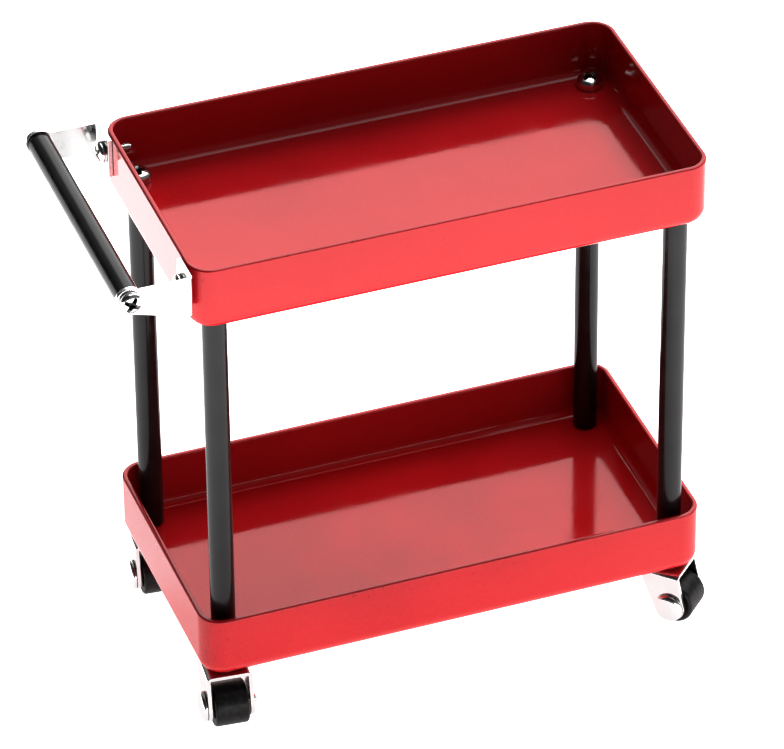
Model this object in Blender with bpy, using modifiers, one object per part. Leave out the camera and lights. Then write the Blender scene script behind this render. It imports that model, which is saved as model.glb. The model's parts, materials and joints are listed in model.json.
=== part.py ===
"""Rolling utility cart, a 1:10 miniature: two pressed trays on four posts, a push handle and swivel casters.

Metres, +Z up. The origin is on the floor, under the middle of the overall length and width.
The handle is at -X. Each tray, post and screw is a separate object in the collection "utility_cart".
"""

import math

import bmesh
import bpy
from mathutils import Matrix, Vector

MM = 0.001

# ---- overall sizes ----
TRAY_LENGTH = 95.0 * MM
TRAY_WIDTH = 50.8 * MM
TRAY_HEIGHT = 12.7 * MM
DECK_SPACING = 75.4 * MM  # from one tray's rim to the other's

# ---- trays ----
SHEET = 1.0 * MM  # wall of both trays
TRAY_FLOOR = 2.1 * MM  # thickness of both trays' floors
TRAY_CORNER = 4.4 * MM  # outer corner radius, seen from above
TRAY_BOTTOM_RADIUS = 2.9 * MM  # outer radius between wall and floor
RIM_ROUNDING = 0.3 * MM

# ---- posts ----
POST_RADIUS = 2.2 * MM
POST_INSET_X = 5.0 * MM  # from the tray's outer end face to the post's axis
POST_INSET_Y = 4.9 * MM  # from the tray's outer side face to the post's axis
POST_CHAMFER = 0.15 * MM

# ---- screws, all with cross-recess pan heads ----
SCREW_RADIUS = 1.0 * MM
HEAD_RADIUS = 1.95 * MM
HEAD_HEIGHT = 1.35 * MM
HEAD_EDGE = 0.6 * MM  # height of the head's straight side
POST_HEAD_RADIUS = 2.3 * MM  # the screws that come down into the posts
POST_HEAD_HEIGHT = 2.2 * MM
POST_HEAD_EDGE = 1.1 * MM
RECESS_REACH = 1.45 * MM  # from the screw's axis to the tip of each arm of the cross
RECESS_WIDTH = 0.62 * MM
RECESS_DEPTH = 0.85 * MM
THREAD_IN_POST = 6.0 * MM
THREAD_IN_BAR = 5.0 * MM
BRACKET_SCREW_LENGTH = 5.0 * MM  # under its head

# ---- push handle ----
BRACKET_SHEET = 0.8 * MM
BRACKET_BEND = 1.1 * MM  # outer radius of the bend
BRACKET_HEIGHT = 7.5 * MM
BRACKET_BELOW_RIM = 0.3 * MM
BRACKET_PROUD = 0.5 * MM  # from the tray's side face out to the arm's outer face
BRACKET_TAB = 6.9 * MM  # along the tray's end wall, from the arm's outer face
BRACKET_SCREW_EDGE = 2.5 * MM  # from the tab's free edge to its screw
BRACKET_END_RADIUS = 2.6 * MM  # round end of the arm
HANDLE_REACH = 11.4 * MM  # from the tray's end wall to the bar's axis
HANDLE_DROP = 1.85 * MM  # from the arm's top edge to the bar's axis
BAR_RADIUS = 2.2 * MM

# ---- casters ----
FORK_SHEET = 0.75 * MM
FORK_BEND = 1.0 * MM  # outer radius of the fork's two bends
FORK_BACK = 3.7 * MM  # from the swivel axis to the top plate's leading edge
FORK_FRONT = 3.9 * MM  # from the swivel axis to the top plate's trailing edge
FORK_BOSS = 2.9 * MM  # radius of the cheek round the axle
TRAIL = 2.3 * MM  # from the swivel axis to the axle
WHEEL_RADIUS = 4.0 * MM
WHEEL_WIDTH = 6.2 * MM
WHEEL_EDGE = 0.45 * MM
AXLE_RADIUS = 0.9 * MM
AXLE_HEAD_RADIUS = 2.75 * MM
AXLE_HEAD_HEIGHT = 1.2 * MM
AXLE_HEAD_EDGE = 0.35 * MM
AXLE_TAIL_RADIUS = 1.15 * MM  # the axle's far end, riveted over
AXLE_TAIL_HEIGHT = 0.9 * MM
WASHER_RADIUS = 2.4 * MM
WASHER_HEIGHT = 0.2 * MM
PIVOT_SHOULDER_RADIUS = 1.45 * MM
PIVOT_HEAD_RADIUS = 2.3 * MM
PIVOT_HEAD_HEIGHT = 0.9 * MM
PIVOT_HEAD_EDGE = 0.35 * MM

# ---- clearances ----
TOUCH = 0.05 * MM  # between faces that meet
THREAD_GAP = 0.1 * MM  # round a thread in its hole
HOLE_GAP = 0.15 * MM  # round a screw in a plain hole
SWIVEL_GAP = 0.1 * MM  # each running face of the swivel
RUNNING_GAP = 0.08 * MM  # round the axle in the wheel
WHEEL_SIDE_GAP = 0.35 * MM  # between the wheel and each cheek
TIP_ROOM = 0.5 * MM  # past a screw's tip in a blind hole
WHEEL_ROOM = 1.4 * MM  # between the wheel's top and the pivot screw's head

# ---- directions in which the casters trail at rest, in degrees from +X ----
CASTER_HEADINGS = {
    ("front", "left"): -95.5,
    ("back", "left"): -95.0,
    ("front", "right"): -46.0,
    ("back", "right"): 83.0,
}

# ---- roundness: flat sides to a full turn ----
POST_SIDES = 24
SCREW_SIDES = 16
CORNER_STEPS = 6  # facets in a tray's corner
BEND_STEPS = 4  # facets between a tray's wall and floor
WHEEL_SIDES = 30
HEAD_STEPS = 3  # rings in a screw head's dome

# ---- heights that follow ----
PIVOT_SHOULDER = WASHER_HEIGHT + FORK_SHEET + 2 * SWIVEL_GAP
LOWER_FLOOR = 2 * WHEEL_RADIUS + WHEEL_ROOM + PIVOT_HEAD_HEIGHT + PIVOT_SHOULDER + TOUCH
UPPER_FLOOR = LOWER_FLOOR + DECK_SPACING
UPPER_RIM = UPPER_FLOOR + TRAY_HEIGHT
POST_BASE = LOWER_FLOOR + TRAY_FLOOR + TOUCH
POST_TOP = UPPER_FLOOR - TOUCH
POST_X = TRAY_LENGTH / 2 - POST_INSET_X
POST_Y = TRAY_WIDTH / 2 - POST_INSET_Y
WASHER_TOP = LOWER_FLOOR - TOUCH
FORK_TOP = WASHER_TOP - WASHER_HEIGHT - SWIVEL_GAP
FORK_INNER = WHEEL_WIDTH + 2 * WHEEL_SIDE_GAP
FORK_WIDTH = FORK_INNER + 2 * FORK_SHEET
AXLE_Z = WHEEL_RADIUS
HANDLE_Z = UPPER_RIM - BRACKET_BELOW_RIM - HANDLE_DROP
ARM_FACE = TRAY_WIDTH / 2 + BRACKET_PROUD
BRACKET_SCREW_Y = ARM_FACE - BRACKET_TAB + BRACKET_SCREW_EDGE
BRACKET_SCREW_Z = UPPER_RIM - BRACKET_BELOW_RIM - BRACKET_HEIGHT / 2
TAB_FACE = TRAY_LENGTH / 2 + TOUCH + BRACKET_SHEET


def caster_reach_x(heading):
    """How far a caster reaches past its swivel axis towards +X: its wheel's rim or a cheek's round end."""
    along = math.cos(math.radians(heading))
    across = abs(math.sin(math.radians(heading)))
    rim = abs(along) * WHEEL_RADIUS + across * WHEEL_WIDTH / 2
    cheek = abs(along) * FORK_BOSS + across * FORK_WIDTH / 2
    return along * TRAIL + max(rim, cheek)


HANDLE_END = TRAY_LENGTH / 2 + HANDLE_REACH + BRACKET_END_RADIUS
FAR_END = max(TRAY_LENGTH / 2, POST_X + caster_reach_x(CASTER_HEADINGS["front", "right"]))
TRAY_X = (HANDLE_END - FAR_END) / 2  # puts the origin under the middle of the overall length

COLOURS = {
    "red_enamel": ((0.62, 0.012, 0.02), 0.28, 0.0),
    "black_lacquer": ((0.012, 0.012, 0.013), 0.35, 0.0),
    "bright_plate": ((0.86, 0.86, 0.85), 0.14, 1.0),
    "black_plastic": ((0.018, 0.018, 0.018), 0.5, 0.0),
}


def clear_scene():
    for obj in list(bpy.data.objects):
        bpy.data.objects.remove(obj, do_unlink=True)


def new_collection(name):
    collection = bpy.data.collections.new(name)
    bpy.context.scene.collection.children.link(collection)
    return collection


def make_material(name, finish):
    colour, roughness, metallic = COLOURS[finish]
    material = bpy.data.materials.new(name)
    material.use_nodes = True
    shader = material.node_tree.nodes["Principled BSDF"]
    shader.inputs["Base Color"].default_value = (*colour, 1.0)
    shader.inputs["Roughness"].default_value = roughness
    shader.inputs["Metallic"].default_value = metallic
    return material


def add_object(name, mesh, finish=None):
    """A part with its own material, or a cutter when it has no finish."""
    obj = bpy.data.objects.new(name, mesh)
    if finish:
        PARTS.objects.link(obj)
        mesh.materials.clear()
        mesh.materials.append(make_material(name, finish))
    else:
        CUTTERS.objects.link(obj)
        obj.hide_render = True
        obj.display_type = "WIRE"
    return obj


def place(obj, location, rotation=(0.0, 0.0, 0.0), parent=None):
    obj.location = location
    obj.rotation_euler = rotation
    if parent:
        obj.parent = parent
    return obj


def to_mesh(bm, name):
    mesh = bpy.data.meshes.new(name)
    bm.to_mesh(mesh)
    bm.free()
    return mesh


def cylinder_mesh(name, radius, depth, sides):
    """A closed cylinder about Z, centred on its origin."""
    bm = bmesh.new()
    bmesh.ops.create_cone(
        bm, cap_ends=True, segments=sides, radius1=radius, radius2=radius, depth=depth
    )
    return to_mesh(bm, name)


def turned(name, profile, sides, finish=None):
    """A solid of revolution about Z. The profile of (radius, z) runs down its outer side, top to bottom."""
    mesh = bpy.data.meshes.new(name)
    points = [(radius, 0.0, z) for radius, z in profile]
    mesh.from_pydata(points, [(i, i + 1) for i in range(len(points) - 1)], [])
    obj = add_object(name, mesh, finish)
    screw = obj.modifiers.new("turn", "SCREW")
    screw.axis = "Z"
    screw.angle = math.tau
    screw.steps = sides
    screw.render_steps = sides
    screw.use_merge_vertices = True
    screw.merge_threshold = 0.01 * MM
    screw.use_smooth_shade = False
    return obj


def sheet_prism(name, outline, thickness):
    """A flat outline of (x, y) points, filled and extruded to a closed prism centred on z = 0."""
    curve = bpy.data.curves.new(name, "CURVE")
    curve.dimensions = "2D"
    curve.fill_mode = "BOTH"
    curve.extrude = thickness / 2
    spline = curve.splines.new("POLY")
    spline.points.add(len(outline) - 1)
    for point, (x, y) in zip(spline.points, outline):
        point.co = (x, y, 0.0, 1.0)
    spline.use_cyclic_u = True
    shape = bpy.data.objects.new(name + "_outline", curve)
    CUTTERS.objects.link(shape)
    bpy.context.view_layer.update()
    graph = bpy.context.evaluated_depsgraph_get()
    mesh = bpy.data.meshes.new_from_object(shape.evaluated_get(graph))
    bpy.data.objects.remove(shape, do_unlink=True)
    bm = bmesh.new()
    bm.from_mesh(mesh)
    bmesh.ops.remove_doubles(bm, verts=bm.verts, dist=0.001 * MM)
    bmesh.ops.recalc_face_normals(bm, faces=bm.faces)
    bm.to_mesh(mesh)
    bm.free()
    mesh.name = name
    return mesh


def arc(centre, radius, start, end, steps):
    """Points on an arc, angles in degrees from +x."""
    found = []
    for i in range(steps + 1):
        angle = math.radians(start + (end - start) * i / steps)
        found.append((centre[0] + radius * math.cos(angle), centre[1] + radius * math.sin(angle)))
    return found


def boolean(obj, cutter, operation="DIFFERENCE"):
    modifier = obj.modifiers.new(operation.lower(), "BOOLEAN")
    modifier.operation = operation
    modifier.object = cutter
    modifier.solver = "EXACT"


def drill(obj, name, centre, radius, depth, axis="Z", sides=SCREW_SIDES):
    """A round hole through obj at a point of obj's own space."""
    cutter = add_object(name, cylinder_mesh(name, radius, depth, sides))
    turns = {"X": (0.0, math.pi / 2, 0.0), "Y": (math.pi / 2, 0.0, 0.0), "Z": (0.0, 0.0, 0.0)}
    place(cutter, centre, turns[axis], obj)
    boolean(obj, cutter)


def rounded_loop(bm, inset, z):
    """One ring of points round the tray, this far in from its outer faces."""
    half_x, half_y, radius = TRAY_LENGTH / 2 - inset, TRAY_WIDTH / 2 - inset, TRAY_CORNER - inset
    loop = []
    for side_x, side_y, start in ((1, 1, 0.0), (-1, 1, 90.0), (-1, -1, 180.0), (1, -1, 270.0)):
        centre = (side_x * (half_x - radius), side_y * (half_y - radius))
        loop += [bm.verts.new((x, y, z)) for x, y in arc(centre, radius, start, start + 90.0, CORNER_STEPS)]
    return loop


def tray(name, floor_z):
    """A pan with rounded corners, a rounded bottom edge and an eased rim, as one ring of section points."""
    bend, inner, rim, height = TRAY_BOTTOM_RADIUS, TRAY_BOTTOM_RADIUS - SHEET, RIM_ROUNDING, TRAY_HEIGHT
    section = [(bend - x, bend - z) for z, x in arc((0.0, 0.0), bend, 0.0, 90.0, BEND_STEPS)]
    section += arc((rim, height - rim), rim, 180.0, 90.0, 2)
    section += arc((SHEET - rim, height - rim), rim, 90.0, 0.0, 2)
    section += [
        (SHEET + inner - x, TRAY_FLOOR + inner - z) for z, x in arc((0.0, 0.0), inner, 90.0, 0.0, BEND_STEPS)
    ]
    bm = bmesh.new()
    loops = [rounded_loop(bm, inset, z) for inset, z in section]
    for outer, following in zip(loops, loops[1:]):
        for i in range(len(outer)):
            j = (i + 1) % len(outer)
            bm.faces.new((outer[i], outer[j], following[j], following[i]))
    bm.faces.new(loops[0])
    bm.faces.new(loops[-1])
    bmesh.ops.recalc_face_normals(bm, faces=bm.faces)
    obj = add_object(name, to_mesh(bm, name), "red_enamel")
    place(obj, (TRAY_X, 0.0, floor_z))
    for side_x, side_y, corner in corners():
        drill(
            obj, f"{name}_{corner}_hole", (side_x * POST_X, side_y * POST_Y, TRAY_FLOOR / 2),
            SCREW_RADIUS + HOLE_GAP, 4 * TRAY_FLOOR,
        )
    return obj


def corners():
    """(sign of x, sign of y, name) of the four posts."""
    for side, side_x in (("left", -1), ("right", 1)):
        for end, side_y in (("front", -1), ("back", 1)):
            yield side_x, side_y, f"{end}_{side}"


def post(name, x, y):
    """A round post, tapped at both ends."""
    length = POST_TOP - POST_BASE
    hole = SCREW_RADIUS + THREAD_GAP
    depth = THREAD_IN_POST + TIP_ROOM
    profile = [
        (0.0, length - depth),
        (hole, length - depth),
        (hole, length),
        (POST_RADIUS - POST_CHAMFER, length),
        (POST_RADIUS, length - POST_CHAMFER),
        (POST_RADIUS, POST_CHAMFER),
        (POST_RADIUS - POST_CHAMFER, 0.0),
        (hole, 0.0),
        (hole, depth),
        (0.0, depth),
    ]
    return place(turned(name, profile, POST_SIDES, "black_lacquer"), (x, y, POST_BASE))


def dome(radius, edge, height):
    """Profile of a pan head standing on z = 0, from the top of the dome to the foot of its edge."""
    rise = height - edge
    points = []
    for i in range(HEAD_STEPS + 1):
        angle = math.pi / 2 * (1 - i / HEAD_STEPS)
        points.append((radius * math.cos(angle), edge + rise * math.sin(angle)))
    points[0] = (0.0, height)
    return points + [(radius, 0.0)]


def cross_cutter(name, top):
    """The cross recess: two crossed bars that narrow towards the bottom, as one closed body."""
    half = RECESS_WIDTH / 2
    reach = RECESS_REACH
    quarter = [(reach, -half), (reach, half), (half, half)]
    outline = []
    for turn in range(4):
        rotation = Matrix.Rotation(math.pi / 2 * turn, 2)
        outline += [tuple(rotation @ Vector(point)) for point in quarter]
    mesh = sheet_prism(name, outline, 2 * RECESS_DEPTH)
    for vertex in mesh.vertices:
        if vertex.co.z < 0:
            vertex.co.x *= 0.6
            vertex.co.y *= 0.6
    cutter = add_object(name, mesh)
    cutter.location = (0.0, 0.0, top)
    return cutter


def screw(name, length, radius=SCREW_RADIUS, head=(HEAD_RADIUS, HEAD_EDGE, HEAD_HEIGHT), shoulder=None):
    """A pan-head screw about Z: the head stands up from z = 0 and the shank hangs below it."""
    tip = radius * 0.35
    profile = dome(*head)
    if shoulder:
        shoulder_radius, shoulder_length = shoulder
        profile += [(shoulder_radius, 0.0), (shoulder_radius, -shoulder_length), (radius, -shoulder_length)]
    else:
        profile += [(radius, 0.0)]
    profile += [(radius, tip - length), (radius - tip, -length), (0.0, -length)]
    obj = turned(name, profile, SCREW_SIDES, "bright_plate")
    cutter = cross_cutter(name + "_recess", head[2])
    cutter.parent = obj
    boolean(obj, cutter)
    return obj


def bracket(name, side):
    """A bent plate: the arm along X and a tab across the tray's end wall. side is +1 at +Y, -1 at -Y.

    The plan of the bent strip is extruded to the full height and then trimmed to the arm's side view.
    """
    sheet = BRACKET_SHEET
    wall_x = TRAY_X - TRAY_LENGTH / 2 - TOUCH
    end_x = TRAY_X - TRAY_LENGTH / 2 - HANDLE_REACH - BRACKET_END_RADIUS
    tab_y = ARM_FACE - BRACKET_TAB
    bend = (wall_x - BRACKET_BEND, ARM_FACE - BRACKET_BEND)
    plan = [(end_x, ARM_FACE - sheet), (end_x, ARM_FACE)]
    plan += arc(bend, BRACKET_BEND, 90.0, 0.0, 6)
    plan += [(wall_x, tab_y), (wall_x - sheet, tab_y)]
    plan += arc(bend, BRACKET_BEND - sheet, 0.0, 90.0, 6)
    tall = 2 * (BRACKET_HEIGHT + 2 * BRACKET_END_RADIUS)
    strip = sheet_prism(name, [(x, side * y) for x, y in plan], tall)
    obj = add_object(name, strip, "bright_plate")
    place(obj, (0.0, 0.0, UPPER_RIM - BRACKET_BELOW_RIM - BRACKET_HEIGHT / 2))

    top = BRACKET_HEIGHT / 2
    foot_x = wall_x - BRACKET_BEND
    eye = (TRAY_X - TRAY_LENGTH / 2 - HANDLE_REACH, top - HANDLE_DROP)
    to_foot = Vector((foot_x - eye[0], -top - eye[1]))
    # the round end stands above the top edge, and the lower edge is tangent to it
    slant = math.degrees(math.atan2(to_foot.y, to_foot.x))
    touch = slant - math.degrees(math.acos(BRACKET_END_RADIUS / to_foot.length))
    crown = math.degrees(math.asin(min(1.0, HANDLE_DROP / BRACKET_END_RADIUS)))
    side_view = [(wall_x + sheet, top)]
    side_view += arc(eye, BRACKET_END_RADIUS, crown, 360.0 + touch, 14)
    side_view += [(foot_x, -top), (wall_x + sheet, -top)]
    trim = add_object(name + "_side_view", sheet_prism(name + "_side_view", side_view, TRAY_WIDTH * 2))
    place(trim, (0.0, 0.0, 0.0), (math.pi / 2, 0.0, 0.0), obj)
    boolean(obj, trim, "INTERSECT")
    drill(
        obj, name + "_bar_hole", (eye[0], side * ARM_FACE, eye[1]), SCREW_RADIUS + HOLE_GAP, 4 * sheet, "Y",
    )
    drill(
        obj, name + "_wall_hole", (wall_x, side * BRACKET_SCREW_Y, 0.0), SCREW_RADIUS + HOLE_GAP,
        4 * sheet, "X",
    )
    return obj


def handle():
    """Two brackets on the upper tray's end wall and the bar between them."""
    wall_x = TRAY_X - TRAY_LENGTH / 2
    bar_x = wall_x - HANDLE_REACH
    for side, end in ((-1, "front"), (1, "back")):
        bracket(f"handle_bracket_{end}", side)
        place(
            screw(f"bracket_screw_{end}", BRACKET_SCREW_LENGTH),
            (TRAY_X - TAB_FACE - TOUCH, side * BRACKET_SCREW_Y, BRACKET_SCREW_Z),
            (0.0, -math.pi / 2, 0.0),
        )
        place(
            screw(f"handle_screw_{end}", BRACKET_SHEET + 2 * TOUCH + THREAD_IN_BAR),
            (bar_x, side * (ARM_FACE + TOUCH), HANDLE_Z),
            (-side * math.pi / 2, 0.0, 0.0),
        )
    length = 2 * (ARM_FACE - BRACKET_SHEET - TOUCH)
    hole = SCREW_RADIUS + THREAD_GAP
    depth = THREAD_IN_BAR + TIP_ROOM
    half = length / 2
    profile = [
        (0.0, half - depth),
        (hole, half - depth),
        (hole, half),
        (BAR_RADIUS - POST_CHAMFER, half),
        (BAR_RADIUS, half - POST_CHAMFER),
        (BAR_RADIUS, POST_CHAMFER - half),
        (BAR_RADIUS - POST_CHAMFER, -half),
        (hole, -half),
        (hole, depth - half),
        (0.0, depth - half),
    ]
    bar = turned("handle_bar", profile, POST_SIDES, "black_lacquer")
    place(bar, (bar_x, 0.0, HANDLE_Z), (math.pi / 2, 0.0, 0.0))


def fork_mesh(name):
    """The fork's section across the wheel, an upturned U, extruded along the heading."""
    half = FORK_WIDTH / 2
    left = (FORK_BEND - half, FORK_TOP - FORK_BEND)
    right = (half - FORK_BEND, FORK_TOP - FORK_BEND)
    inner = FORK_BEND - FORK_SHEET
    foot = AXLE_Z - FORK_BOSS - MM
    section = [(-half, foot)]
    section += arc(left, FORK_BEND, 180.0, 90.0, 4)
    section += arc(right, FORK_BEND, 90.0, 0.0, 4)
    section += [(half, foot), (half - FORK_SHEET, foot)]
    section += arc(right, inner, 0.0, 90.0, 3)
    section += arc(left, inner, 90.0, 180.0, 3)
    section += [(FORK_SHEET - half, foot)]
    return sheet_prism(name, section, 4 * (FORK_BACK + TRAIL + FORK_BOSS))


def caster(corner, x, y, heading):
    """A swivel caster in its own frame: swivel axis at the origin, trailing towards +X, axle along Y."""
    swivel = bpy.data.objects.new(f"{corner}_swivel", None)
    PARTS.objects.link(swivel)
    place(swivel, (x, y, 0.0), (0.0, 0.0, math.radians(heading)))

    fork = add_object(f"{corner}_fork", fork_mesh(f"{corner}_fork"), "bright_plate")
    # the section lies in the curve's XY plane; turned so that its x is the axle and its y is up
    place(fork, (0.0, 0.0, 0.0), (math.pi / 2, 0.0, math.pi / 2), swivel)
    # each cheek's two edges run down from the top plate and touch the round end
    shoulder = FORK_TOP - FORK_BEND
    touches = []
    for edge_x, turn in ((-FORK_BACK, 1.0), (FORK_FRONT, -1.0)):
        to_edge = Vector((edge_x - TRAIL, shoulder - AXLE_Z))
        away = math.degrees(math.atan2(to_edge.y, to_edge.x))
        touches.append(away + turn * math.degrees(math.acos(FORK_BOSS / to_edge.length)))
    top = FORK_TOP + MM
    side_view = [(FORK_FRONT, shoulder), (FORK_FRONT, top), (-FORK_BACK, top), (-FORK_BACK, shoulder)]
    side_view += arc((TRAIL, AXLE_Z), FORK_BOSS, touches[0], 360.0 + touches[1], 12)
    side_name = f"{corner}_fork_side_view"
    trim = add_object(side_name, sheet_prism(side_name, side_view, 4 * FORK_WIDTH))
    place(trim, (0.0, 0.0, 0.0), (math.pi / 2, 0.0, 0.0), swivel)
    boolean(fork, trim, "INTERSECT")
    # in the fork's own frame x is the axle's direction, y is up and z is the heading
    drill(
        fork, f"{corner}_fork_axle_hole", (0.0, AXLE_Z, TRAIL), AXLE_RADIUS + THREAD_GAP,
        2 * FORK_WIDTH, "X",
    )
    drill(
        fork, f"{corner}_fork_pivot_hole", (0.0, FORK_TOP, 0.0), PIVOT_SHOULDER_RADIUS + HOLE_GAP,
        4 * FORK_SHEET, "Y",
    )

    width = WHEEL_WIDTH / 2
    bore = AXLE_RADIUS + RUNNING_GAP
    wheel_profile = [
        (bore, width),
        (WHEEL_RADIUS - WHEEL_EDGE, width),
        (WHEEL_RADIUS - WHEEL_EDGE * 0.3, width - WHEEL_EDGE * 0.3),
        (WHEEL_RADIUS, width - WHEEL_EDGE),
        (WHEEL_RADIUS, WHEEL_EDGE - width),
        (WHEEL_RADIUS - WHEEL_EDGE * 0.3, WHEEL_EDGE * 0.3 - width),
        (WHEEL_RADIUS - WHEEL_EDGE, -width),
        (bore, -width),
        (bore, width),
    ]
    wheel = turned(f"{corner}_wheel", wheel_profile, WHEEL_SIDES, "black_plastic")
    place(wheel, (TRAIL, 0.0, AXLE_Z), (math.pi / 2, 0.0, 0.0), swivel)

    # a riveted pin; its head is on the side that faces the handle
    faces_handle = 1.0 if math.sin(math.radians(heading)) > 0 else -1.0
    tail = -FORK_WIDTH - 2 * TOUCH
    axle_profile = dome(AXLE_HEAD_RADIUS, AXLE_HEAD_EDGE, AXLE_HEAD_HEIGHT) + [(AXLE_RADIUS, 0.0)]
    axle_profile += [(AXLE_RADIUS, tail)]
    axle_profile += [(r, tail - z) for r, z in reversed(dome(AXLE_TAIL_RADIUS, 0.0, AXLE_TAIL_HEIGHT)[:-1])]
    place(
        turned(f"{corner}_axle", axle_profile, SCREW_SIDES, "bright_plate"),
        (TRAIL, faces_handle * (FORK_WIDTH / 2 + TOUCH), AXLE_Z), (-faces_handle * math.pi / 2, 0.0, 0.0),
        swivel,
    )

    pivot = screw(
        f"{corner}_pivot_screw", PIVOT_SHOULDER + TOUCH + TRAY_FLOOR + THREAD_IN_POST, SCREW_RADIUS,
        (PIVOT_HEAD_RADIUS, PIVOT_HEAD_EDGE, PIVOT_HEAD_HEIGHT), (PIVOT_SHOULDER_RADIUS, PIVOT_SHOULDER),
    )
    place(pivot, (x, y, WASHER_TOP - PIVOT_SHOULDER), (math.pi, 0.0, 0.0))
    bore = PIVOT_SHOULDER_RADIUS + HOLE_GAP
    washer_profile = [
        (bore, WASHER_HEIGHT), (WASHER_RADIUS, WASHER_HEIGHT), (WASHER_RADIUS, 0.0), (bore, 0.0),
        (bore, WASHER_HEIGHT),
    ]
    washer = turned(f"{corner}_swivel_washer", washer_profile, SCREW_SIDES + 4, "bright_plate")
    place(washer, (x, y, WASHER_TOP - WASHER_HEIGHT))


def build():
    tray("lower_tray", LOWER_FLOOR)
    upper = tray("upper_tray", UPPER_FLOOR)
    for side, end in ((-1, "front"), (1, "back")):
        drill(
            upper, f"upper_tray_{end}_bracket_hole",
            (-TRAY_LENGTH / 2, side * BRACKET_SCREW_Y, BRACKET_SCREW_Z - UPPER_FLOOR),
            SCREW_RADIUS + HOLE_GAP, 4 * SHEET, "X",
        )
    for side_x, side_y, corner in corners():
        x = TRAY_X + side_x * POST_X
        y = side_y * POST_Y
        post(f"{corner}_post", x, y)
        top_screw = screw(
            f"{corner}_post_screw", TRAY_FLOOR + 2 * TOUCH + THREAD_IN_POST,
            head=(POST_HEAD_RADIUS, POST_HEAD_EDGE, POST_HEAD_HEIGHT),
        )
        place(top_screw, (x, y, UPPER_FLOOR + TRAY_FLOOR + TOUCH))
        end, side = corner.split("_")
        caster(corner, x, y, CASTER_HEADINGS[end, side])
    handle()


clear_scene()
PARTS = new_collection("utility_cart")
CUTTERS = new_collection("cutters")
build()
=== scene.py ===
"""Looks for the rolling utility cart: enamelled trays, lacquered posts, plated brackets and casters.

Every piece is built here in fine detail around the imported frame, in metres, and rides on its CAD body.
"""

import json
import math

import bmesh
import bpy
from mathutils import Matrix, Vector


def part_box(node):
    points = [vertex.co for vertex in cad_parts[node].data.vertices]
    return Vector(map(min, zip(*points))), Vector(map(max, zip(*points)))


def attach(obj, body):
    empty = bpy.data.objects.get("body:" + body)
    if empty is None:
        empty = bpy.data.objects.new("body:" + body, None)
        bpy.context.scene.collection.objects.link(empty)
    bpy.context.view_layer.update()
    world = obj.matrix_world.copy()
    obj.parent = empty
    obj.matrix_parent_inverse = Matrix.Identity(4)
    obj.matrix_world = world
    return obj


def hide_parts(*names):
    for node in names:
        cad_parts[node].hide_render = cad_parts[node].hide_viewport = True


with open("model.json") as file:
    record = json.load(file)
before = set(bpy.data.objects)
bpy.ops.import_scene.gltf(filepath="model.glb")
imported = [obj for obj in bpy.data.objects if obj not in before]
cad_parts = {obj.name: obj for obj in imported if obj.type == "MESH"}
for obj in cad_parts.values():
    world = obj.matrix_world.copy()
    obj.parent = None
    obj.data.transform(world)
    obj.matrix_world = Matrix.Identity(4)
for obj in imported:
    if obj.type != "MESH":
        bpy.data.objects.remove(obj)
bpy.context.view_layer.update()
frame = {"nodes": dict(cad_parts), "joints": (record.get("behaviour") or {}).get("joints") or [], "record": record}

MM = 0.001

# ---- sizes that the frame's boxes don't give ----
SHEET = 1.0 * MM
TRAY_FLOOR = 2.1 * MM
TRAY_CORNER = 4.4 * MM
TRAY_BOTTOM_RADIUS = 2.9 * MM
RIM_ROUNDING = 0.36 * MM
RIM_BAND = 1.2  # of the rim's rounding, counts as rim for its painted shade and its worn patches

SCREW_RADIUS = 1.0 * MM
THREAD_PITCH = 0.4 * MM
THREAD_DEPTH = 0.32 * MM
THREAD_STEEPNESS = 1.25  # over 1, so that the root between two ridges is flat
THREAD_START = 0.05 * MM
THREAD_AT_TIP = 0.25  # of the thread's depth, at the very end
TIP_LENGTH = 0.45 * MM
TIP_SHARE = 0.55  # of the screw's radius, at the very end
HOLE_GAP = 0.15 * MM
THREAD_GAP = 0.1 * MM
TIP_ROOM = 0.5 * MM
THREAD_IN_POST = 6.0 * MM
THREAD_IN_BAR = 5.0 * MM
POST_CHAMFER = 0.3 * MM

HEAD_HEIGHT = 1.35 * MM
HEAD_EDGE = 0.55 * MM
HEAD_FULLNESS = 0.9  # under 1, so that the dome stays wide towards its edge
HEAD_FOOT_EASE = 0.06 * MM
POST_HEAD_HEIGHT = 2.2 * MM
POST_HEAD_EDGE = 1.05 * MM
RECESS_REACH = 1.75 * MM
RECESS_WIDTH = 0.74 * MM
RECESS_DEPTH = 0.85 * MM
RECESS_CORNER = 1.25  # of half the width: how far out the cross's inner corners lie
RECESS_TAPER = 0.5  # the cutter is narrower below the head's top and wider above it by this share
RECESS_SHADE_LEVEL = 0.75  # of the depth: the middle of the band of points that is coloured dark as painted shade
RECESS_SHADE_REACH = 0.35  # of the depth, above and below that level

BRACKET_SHEET = 0.8 * MM
BRACKET_BEND = 1.1 * MM
BRACKET_END_RADIUS = 2.6 * MM
BRACKET_EASE = 0.09 * MM

FORK_SHEET = 0.75 * MM
FORK_BEND = 1.0 * MM
FORK_BOSS = 2.9 * MM
FORK_EASE = 0.08 * MM
AXLE_RADIUS = 0.9 * MM
AXLE_TAIL_HEIGHT = 0.9 * MM
AXLE_TAIL_OVERHANG = 0.25 * MM
AXLE_TAIL_EDGE = 0.1 * MM
AXLE_HEAD_HEIGHT = 1.2 * MM
AXLE_HEAD_EDGE = 0.3 * MM
WHEEL_EDGE = 0.5 * MM
WHEEL_GROOVE = (0.62, 0.66, 0.80, 0.83)  # of the wheel's radius: where its sides start and end
WHEEL_GROOVE_DEPTH = 0.12 * MM
WHEEL_SEAM = 0.03 * MM
TREAD_BAND = 0.3  # of the edge's rounding, counts as tread for the scuffs
RUNNING_GAP = 0.08 * MM
WASHER_EASE = 0.04 * MM
PIVOT_SHOULDER_RADIUS = 1.45 * MM
PIVOT_HEAD_HEIGHT = 0.9 * MM
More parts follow.
